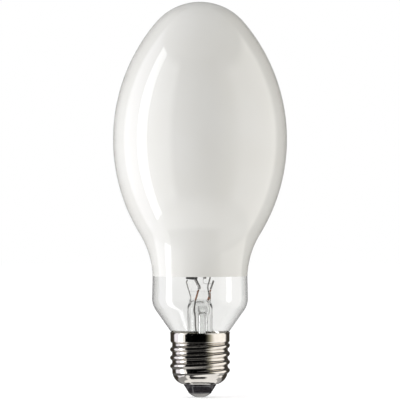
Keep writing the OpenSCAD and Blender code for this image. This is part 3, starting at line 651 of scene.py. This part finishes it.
def make_outer_lead():
    """Lead from the press down the stem's tube into the contact's eyelet."""
    route = bent([
        point(-2.05, FRONT_Y, WELD_Z),
        point(-2.05, FRONT_Y, 31.3 * MM),
        point(-1.6, FRONT_Y, 28.3 * MM),
        point(-1.6, FRONT_Y, 11.5 * MM),
        point(0, 0, 7.9 * MM),
        point(0, 0, 0.37 * MM),
    ], 1.5 * MM)
    settle(tube("centre_lead", route, THIN_WIRE_R, 16), "lead_wire", "centre_outer_lead")


def make_ignition_support():
    """Thin wire that crosses the side lead and rises beside the arc tube."""
    route = bent([
        point(4.05, FRONT_Y, PRESS_TOP - 2.8 * MM),
        point(3.3, FRONT_Y, PRESS_TOP + 2.2 * MM),
        point(4, -0.9, PRESS_TOP + 4.1 * MM),
        point(6.2, -0.9, PRESS_TOP + 14.2 * MM),
    ], 1 * MM)
    upper_x = IGNITION_HIGH.x - 2 * MM
    route += bent([
        route[-1] + Vector((0, 0, 1 * MM)),
        point(6.2, -0.5, 76.5 * MM),
        Vector((upper_x, 0, 85.5 * MM)),
        Vector((upper_x, 0, IGNITION_HIGH.z)),
    ], 1 * MM)
    settle(tube("ignition_support", route, THIN_WIRE_R, 16), "frame_steel", "starting_wire_support")


def oval(a, b, power, z, sides):
    """Ring of a superellipse with half widths a and b at a height."""
    points = []
    for j in range(sides):
        t = 2 * math.pi * j / sides
        c = math.cos(t)
        k = math.sin(t)
        points.append((
            math.copysign(abs(c) ** (2 / power) * a, c),
            math.copysign(abs(k) ** (2 / power) * b, k),
            z,
        ))
    return points


def make_stem():
    """Glass stem: flared tube that narrows without an edge into the flat press."""
    press_a, press_b = PRESS_HALF
    flare_r = STEM_HIGH.x - TUBE_R
    flare = (TUBE_R + flare_r, STEM_LOW.z + TUBE_WALL + flare_r)
    foot_angle = 268
    sides = 96

    # Heights in millimetres, also wherever h stands for one
    blend_from = 37
    blend_to = 43.6
    blend_steps = 26
    edge_steps = 4

    def ring(a, b, z, power=2.0):
        """Ring of the stem, an ellipse unless its power says otherwise."""
        return oval(a, b, power, z, sides)

    rings = [ring(r, r, z) for r, z in arc(flare, flare_r, foot_angle, 180, 12)]
    rings += [ring(TUBE_R, TUBE_R, h * MM) for h in (26, 30, 34, 36)]
    for i in range(blend_steps + 1):
        h = blend_from + (blend_to - blend_from) * i / blend_steps
        a = TUBE_R - (TUBE_R - press_a) * smooth((h - 38.6) / 3.4)
        b = TUBE_R - (TUBE_R - press_b) * smooth((h - 37.2) / 5.8)
        rings.append(ring(a, b, h * MM, 2 + (PRESS_POWER - 2) * smooth((h - 39.5) / 4)))
    for i in range(edge_steps + 1):
        turn = math.radians(90 * i / edge_steps)
        shrink = PRESS_EDGE * (1 - math.cos(turn))
        z = PRESS_TOP - PRESS_EDGE * (1 - math.sin(turn))
        rings.append(ring(press_a - shrink, press_b - shrink, z, PRESS_POWER))
    top = len(rings)
    rings += [ring(a * MM, b * MM, h * MM) for a, b, h in ROOF]
    rings += [ring(TUBE_R - TUBE_WALL, TUBE_R - TUBE_WALL, h * MM) for h in (34, 30, 26)]
    rings += [ring(r, r, z) for r, z in arc(flare, flare_r + TUBE_WALL, 180, foot_angle, 12)]
    points = [p for row in rings for p in row]
    faces = []
    count = len(rings)
    for i in range(count):
        if i == top - 1:
            continue
        faces += band(i * sides, (i + 1) % count * sides, sides)
    faces.append(tuple(range((top - 1) * sides, top * sides)))
    faces.append(tuple(range((top + 1) * sides - 1, top * sides - 1, -1)))
    piece = mesh_object("stem_glass", points, faces, sharp=40)
    settle(piece, "clear_glass", "stem", look="stem_glass")


def make_exhaust():
    """Exhaust tube, sealed at its tip, its bore widening to a fine edge under the stem's roof."""
    centre = (EXHAUST_LOW + EXHAUST_HIGH) / 2
    outer_r = (EXHAUST_HIGH.x - EXHAUST_LOW.x) / 2
    bore_r = 1.1 * MM
    top = 38.6 * MM
    widening = 6 * MM
    tip_wall = 1.4 * MM
    lip = 0.05 * MM
    profile = arc((0, EXHAUST_LOW.z + outer_r), outer_r, -90, 0, 10)
    profile += arc((outer_r - lip, top - lip), lip, 0, 180, 6)
    profile.append((bore_r, top - widening))
    profile += arc((0, EXHAUST_LOW.z + tip_wall + bore_r), bore_r, 0, -90, 8)
    profile[0] = (0, profile[0][1])
    profile[-1] = (0, profile[-1][1])
    piece = lathe("exhaust_glass", profile, 64, centre=(centre.x, centre.y), sharp=60)
    settle(piece, "clear_glass", "exhaust_tube", look="stem_glass")


def make_getter():
    """Getter ring: rolled channel with rounded lips."""
    centre = (GETTER_LOW + GETTER_HIGH) / 2
    outer_r = 2.55 * MM
    width = 1 * MM
    half = 0.6 * MM
    wall = 0.2 * MM
    lean = 5
    lip = wall / 2
    right = outer_r - lip
    left = outer_r - width + lip
    profile = arc((right, half - lip), lip, 0, 180, 6)
    profile += arc((right - 2 * lip, -half + 2 * wall), wall, 0, -90, 4)
    profile += arc((left + 2 * lip, -half + 2 * wall), wall, -90, -180, 4)
    profile += arc((left, half - lip), lip, 0, 180, 6)
    profile += arc((left + wall, -half + wall * 1.5), wall * 1.5, 180, 270, 4)
    profile += arc((right - wall, -half + wall * 1.5), wall * 1.5, 270, 360, 4)
    piece = lathe("getter_channel", profile, 72, closed=True, sharp=60)
    tilt = Matrix.Rotation(math.radians(lean), 4, "Y")
    piece.data.transform(Matrix.Translation(centre) @ tilt)
    settle(piece, "getter_metal", "getter_ring")


def dish(inset, r):
    """Arc of the contact's dished face, moved inwards, from its flat middle out to a radius."""
    start = math.degrees(math.asin(CONTACT_FLAT_R / DISH_R)) - 90
    end = math.degrees(math.asin(r / (DISH_R - inset))) - 90
    return arc((0, DISH_Z), DISH_R - inset, start, end, 14)


def make_contact():
    """Dished contact plate with an eyelet in its middle."""
    edge = 0.08 * MM
    profile = [(HOLE_R + edge, 0.0)]
    profile += dish(0, CONTACT_R)
    profile += dish(CONTACT_WALL, CONTACT_R - CONTACT_WALL)[::-1]
    profile += [(EYELET_R, CONTACT_WALL), (EYELET_R, CONTACT_TOP), (HOLE_R, CONTACT_TOP), (HOLE_R, edge)]
    settle(lathe("contact_plate", profile, 128, closed=True), "contact_metal", "centre_contact")


def make_contact_bead():
    """Domed bead of solder in the eyelet."""
    bead_r = HOLE_R * 0.97
    bead_z = 0.02 * MM
    rise = 0.22 * MM
    top = 1.6 * MM
    dome = [(0, bead_z)]
    for degrees in range(15, 91, 15):
        a = math.radians(degrees)
        dome.append((bead_r * math.sin(a), bead_z + rise * (1 - math.cos(a))))
    dome += [(bead_r, top), (0, top)]
    settle(lathe("contact_bead", dome, 64), "solder", "contact_solder")


def make_cap_glass():
    """Black cap glass: round inside the shell, a cone down to the contact, a bore for the lead."""
    round_centre = (ROOT_R - ROUND_R, SHELL_LOW.z + ROUND_R)
    inner_r = ROUND_R - SHELL_WALL - 0.1 * MM
    neck_r = MOUTH_R - 0.12 * MM
    start = -math.degrees(math.asin((round_centre[1] - INSULATOR_TOP) / inner_r))
    end = -math.degrees(math.acos((neck_r - round_centre[0]) / inner_r))
    mouth_z = SHELL_LOW.z
    under = CONTACT_WALL + JOINT_GAP
    bore = 0.9 * MM
    hole = EYELET_R + 2 * JOINT_GAP
    hole_top = CONTACT_TOP + JOINT_GAP
    profile = [(bore, INSULATOR_TOP)]
    profile += arc(round_centre, inner_r, start, end, 16)
    profile += [(neck_r, mouth_z - 0.02 * MM), (MOUTH_R - 0.02 * MM, mouth_z - 0.1 * MM)]
    profile += [(r * MM, z * MM) for r, z in GLASS_CONE]
    profile.append((CONTACT_R + 0.03 * MM, CONTACT_RISE + 0.04 * MM))
    profile += dish(under, CONTACT_R - under)[::-1]
    profile += [(hole, CONTACT_WALL + 0.05 * MM), (hole, hole_top), (bore, hole_top)]
    settle(lathe("cap_glass", profile, 160, closed=True), "black_glass", "cap_insulator")


def make_strap():
    """Thin strap from the side lead to the support rod, with rolled edges."""
    half_t = 0.075 * MM
    rod_face = ROD_LOW.x - JOINT_GAP - half_t
    z = STRAP_LOW.z + half_t
    centre = bent([
        Vector((STRAP_HIGH.x, 0, z)),
        Vector((rod_face, 0, z)),
        Vector((rod_face, 0, STRAP_HIGH.z)),
    ], 0.9 * MM)
    half_w = (STRAP_HIGH.y - STRAP_LOW.y) / 2
    mid_y = (STRAP_HIGH.y + STRAP_LOW.y) / 2
    flat_w = half_w - half_t * 0.4
    section = [
        (half_w, 0),
        (flat_w, half_t),
        (-flat_w, half_t),
        (-half_w, 0),
        (-flat_w, -half_t),
        (flat_w, -half_t),
    ]
    rings = []
    end = len(centre) - 1
    for i, p in enumerate(centre):
        along = (centre[min(i + 1, end)] - centre[max(i - 1, 0)]).normalized()
        square = Vector((-along.z, 0, along.x))
        rings.append([p + square * h + Vector((0, mid_y + w, 0)) for w, h in section])
    settle(swept("strap_band", rings, sharp=40), "strap_metal", "lower_strap")


def add_lamp(name, position, target, size, power, colour=WHITE):
    """A soft rectangular lamp aimed at a point, seen in no reflection and through no glass."""
    data = bpy.data.lights.new(name, "AREA")
    data.shape = "RECTANGLE"
    data.size = size[0]
    data.size_y = size[1]
    data.energy = power
    data.color = colour
    lamp = bpy.data.objects.new(name, data)
    lamp.location = position
    lamp.rotation_mode = "QUATERNION"
    lamp.rotation_quaternion = (Vector(position) - Vector(target)).to_track_quat("Z", "Y")
    bpy.context.scene.collection.objects.link(lamp)
    lamp.visible_camera = False
    lamp.visible_transmission = False
    lamp.visible_glossy = False


def ramp(n, value, start, full):
    """Rises smoothly from 0 to 1 as value goes from start to full."""
    node = n.add("ShaderNodeMapRange", Value=value)
    node.interpolation_type = "SMOOTHSTEP"
    node.inputs["From Min"].default_value = start
    node.inputs["From Max"].default_value = full
    return node.outputs["Result"]


def fade(n, value, low, high):
    """1 while value lies well between two (start, full) pairs, fading smoothly to 0 outside."""
    return n.calculate("MULTIPLY", ramp(n, value, *low), ramp(n, value, *high))


def glow_in_gloss(piece, n, share, glow, colour=WHITE):
    """Lets a piece of the studio glow by a share, seen by glossy rays alone."""
    emission = n.add("ShaderNodeEmission", Color=(*colour, 1), Strength=glow)
    clear = n.add("ShaderNodeBsdfTransparent")
    piece.data.materials.append(n.finish(n.mixed(share, clear.outputs[0], emission.outputs[0])))
    piece.visible_camera = False
    piece.visible_diffuse = False
    piece.visible_shadow = False
    piece.visible_transmission = False


def turned_sheet(name, profile, azimuths):
    """Part of a turned sheet of (radius, z) points, between two azimuths."""
    columns = 48
    points = []
    for r, z in profile:
        for i in range(columns + 1):
            a = math.radians(azimuths[0] + (azimuths[1] - azimuths[0]) * i / columns)
            points.append((r * math.sin(a), -r * math.cos(a), z))
    high = columns + 1
    faces = [(i, i + 1, high + i + 1, high + i) for i in range(columns)]
    return mesh_object(name, points, faces)


def screen(name, profile, azimuths, glow, soft, colour=WHITE, inside=False, from_below=False):
    """Screen round the lamp that shows only in gloss, upright or level.

    profile holds two (radius, z) points, azimuths run from the front (0) towards +X in degrees.
    The edges fade over soft: left and right in degrees and, if it stands, bottom and top in metres.
    An inside screen shows only in a first reflection, but also within the glass. A screen
    from_below shows only to what rises towards it.
    """
    piece = turned_sheet(name, profile, azimuths)
    n = Nodes(name)
    split = n.add("ShaderNodeSeparateXYZ", Vector=n.coordinates)
    ahead = n.calculate("MULTIPLY", split.outputs["Y"], -1.0)
    azimuth = n.calculate("ARCTAN2", split.outputs["X"], ahead)
    left, right = (math.radians(a) for a in azimuths)
    left_edge = (left, left + math.radians(soft[0]))
    right_edge = (right, right - math.radians(soft[1]))
    share = fade(n, azimuth, left_edge, right_edge)
    bottom, top = sorted(z for r, z in profile)
    if top > bottom:
        standing = fade(n, split.outputs["Z"], (bottom, bottom + soft[2]), (top, top - soft[3]))
        share = n.calculate("MULTIPLY", share, standing)
    if inside:
        depth = n.add("ShaderNodeLightPath").outputs["Glossy Depth"]
        share = n.calculate("MULTIPLY", share, n.calculate("COMPARE", depth, 1.0, 0.5))
    if from_below:
        backfacing = n.add("ShaderNodeNewGeometry").outputs["Backfacing"]
        share = n.calculate("MULTIPLY", share, n.calculate("SUBTRACT", 1.0, backfacing))
    glow_in_gloss(piece, n, share, glow, colour)
    piece.visible_transmission = inside


def upright(radius, low, high):
    """Profile of an upright screen."""
    return [(radius, low), (radius, high)]


def level(z, inner, outer):
    """Profile of a level ring."""
    return [(inner, z), (outer, z)]


def pool(name, height, radius, soft, glow):
    """Round level patch of light that shows only in gloss and fades at its edge."""
    piece = lathe(name, [(0, height), (radius, height)], 64)
    n = Nodes(name)
    flat = n.add("ShaderNodeVectorMath", Vector=n.coordinates)
    flat.operation = "MULTIPLY"
    flat.inputs[1].default_value = (1, 1, 0)
    away = n.add("ShaderNodeVectorMath")
    away.operation = "LENGTH"
    n.put(away, 0, flat.outputs[0])
    share = ramp(n, away.outputs["Value"], radius, radius - soft)
    glow_in_gloss(piece, n, share, glow)


def make_world(plain, gloss, within):
    """White to the camera, also through glass, and plain light for everything else.

    gloss is what reflections show, within what reflections inside the glass show.
    """
    world = bpy.data.worlds.new("studio")
    bpy.context.scene.world = world
    world.use_nodes = True
    tree = world.node_tree
    background = tree.nodes["Background"]
    rays = tree.nodes.new("ShaderNodeLightPath").outputs
    unreflected = calculate(tree, "LESS_THAN", rays["Glossy Depth"], 0.5)
    through = calculate(tree, "MULTIPLY", rays["Is Transmission Ray"], unreflected)
    white = calculate(tree, "MAXIMUM", rays["Is Camera Ray"], through)
    outside = calculate(tree, "MULTIPLY", rays["Is Glossy Ray"], gloss - plain)
    inside = calculate(tree, "MULTIPLY", rays["Is Transmission Ray"], within - gloss)
    studio = calculate(tree, "ADD", plain, calculate(tree, "ADD", outside, inside))
    rest = calculate(tree, "MULTIPLY", studio, calculate(tree, "SUBTRACT", 1.0, white))
    tree.links.new(calculate(tree, "ADD", rest, white), background.inputs["Strength"])
    background.inputs["Color"].default_value = (*WHITE, 1)


def make_floor():
    """Pale floor that only the camera sees, with the lamp's shadow on it."""
    half = 3
    corners = [(-half, -half, 0), (half, -half, 0), (half, half, 0), (-half, half, 0)]
    floor = mesh_object("floor", corners, [(0, 1, 2, 3)])
    floor.location.z = -0.2 * MM
    n = Nodes("floor")
    matt = n.add("ShaderNodeBsdfDiffuse", Color=(0.8, 0.8, 0.8, 1))
    glow = n.add("ShaderNodeEmission", Color=(*WHITE, 1), Strength=0.45)
    both = n.add("ShaderNodeAddShader")
    n.put(both, 0, matt.outputs[0])
    n.put(both, 1, glow.outputs[0])
    floor.data.materials.append(n.finish(both.outputs[0]))
    floor.visible_diffuse = False
    floor.visible_glossy = False
    floor.visible_transmission = False
    floor.visible_shadow = False


def make_lamps():
    """Lamps that light the coating, the wires and the floor."""
    centre = (0, 0, EYE_Z)
    strip_z = -0.1
    add_lamp("left_strip", (-0.61, -0.095, strip_z), (0, 0, strip_z), (0.18, 1.8), power=4.8, colour=COOL)
    add_lamp("left_key", (-0.62, -0.42, 0.3), centre, (0.42, 0.6), power=1.2, colour=COOL)
    add_lamp("right_fill", (0.75, -0.25, 0.1), centre, (0.6, 0.9), power=2.6, colour=WARM)
    add_lamp("low_fill", (-0.05, -0.3, -0.95), centre, (0.5, 0.5), power=1.3)


def make_screens():
    """Tall screens that the bulb mirrors, light at the sides and dark in front and behind."""
    screen("left_lilac", upright(1.0, -1.6, 1.4), (-124, -86), 1.45, soft=(12, 6, 0.6, 0.4), colour=LILAC)
    screen("left_soft", upright(1.02, -1.6, 1.4), (-94, -32), 1.5, soft=(6, 12, 0.6, 0.4))
    screen("right_tint", upright(1.1, -1.0, 1.2), (14, 62), 0.55, soft=(34, 8, 0.5, 0.3), colour=OLIVE)
    screen("right_soft", upright(1.0, -1.0, 1.2), (37, 124), 1.6, soft=(24, 10, 0.5, 0.3), colour=WARM)
    screen("front_dark", upright(1.2, -1.2, 1.8), (-64, 40), 0.0, soft=(16, 16, 0.9, 0.3))
    for name, azimuths in (("right_back_dark", (122, 166)), ("left_back_dark", (-166, -118))):
        screen(name, upright(0.9, -1.0, 1.4), azimuths, 0.06, soft=(6, 6, 0.3, 0.1), colour=BROWN)
    screen("strip", upright(0.61, -1.0, 0.8), (-90, -72), 4.6, (1, 1, 0.02, 0.02), COOL, inside=True)


def make_cap_screens():
    """Small screens close to the cap that draw the dark lines and soft bands of its metal."""
    front = (-52, 40)
    screen("cap_flag", upright(0.04, -0.038, 0.058), front, 0.0, soft=(1.5, 26, 0.003, 0.012))
    screen("cap_flag_low", upright(0.041, -0.054, -0.01), front, 0.2, soft=(1.5, 26, 0.004, 0.001))
    screen("cap_ledge", level(0.0084, 0.0136, 0.021), (-150, 44), 0.16, soft=(20, 12))
    all_round = (-BEHIND, BEHIND)
    screen("cap_roof", level(0.055, 0.021, 0.09), all_round, 0.08, soft=(0.5, 0.5), from_below=True)
    screen("cap_foot_left", level(-0.02, 0.025, 0.052), (-BEHIND, -62), 0.42, soft=(1, 8))
    screen("cap_foot_right", level(-0.02, 0.03, 0.05), (84, BEHIND), 0.5, soft=(16, 1))
    pool("below", -0.4, 0.8, soft=0.35, glow=1.25)
    base = level(0.0005, 0.006, 0.0089)
    screen("cap_base_left", base, (-BEHIND, -51), 0.06, soft=(1, 1))
    screen("cap_base_right", base, (-43, BEHIND), 0.06, soft=(1, 1))


def make_camera():
    """Long lens, level with the middle of the lamp, framed as the photograph."""
    data = bpy.data.cameras.new("camera")
    data.sensor_width = 36
    data.lens = data.sensor_width * EYE_DISTANCE / (PIXEL * PIXELS_ACROSS)
    data.clip_end = 20
    camera = bpy.data.objects.new("camera", data)
    camera.location = (0, -EYE_DISTANCE, EYE_Z)
    camera.rotation_euler = (math.radians(90), 0, 0)
    bpy.context.scene.collection.objects.link(camera)
    bpy.context.scene.camera = camera


dress_nodes()
make_bulb()
make_coating()
make_shell()
make_contact()
make_contact_bead()
make_cap_glass()
make_seal_wires()
make_inner_leads()
make_getter_wire()
make_outer_lead()
make_ignition_support()
make_stem()
make_exhaust()
make_getter()
make_strap()
make_world(plain=0.70, gloss=0.25, within=0.68)
make_floor()
make_lamps()
make_screens()
make_cap_screens()
make_camera()
bpy.context.scene.view_settings.view_transform = "Standard"
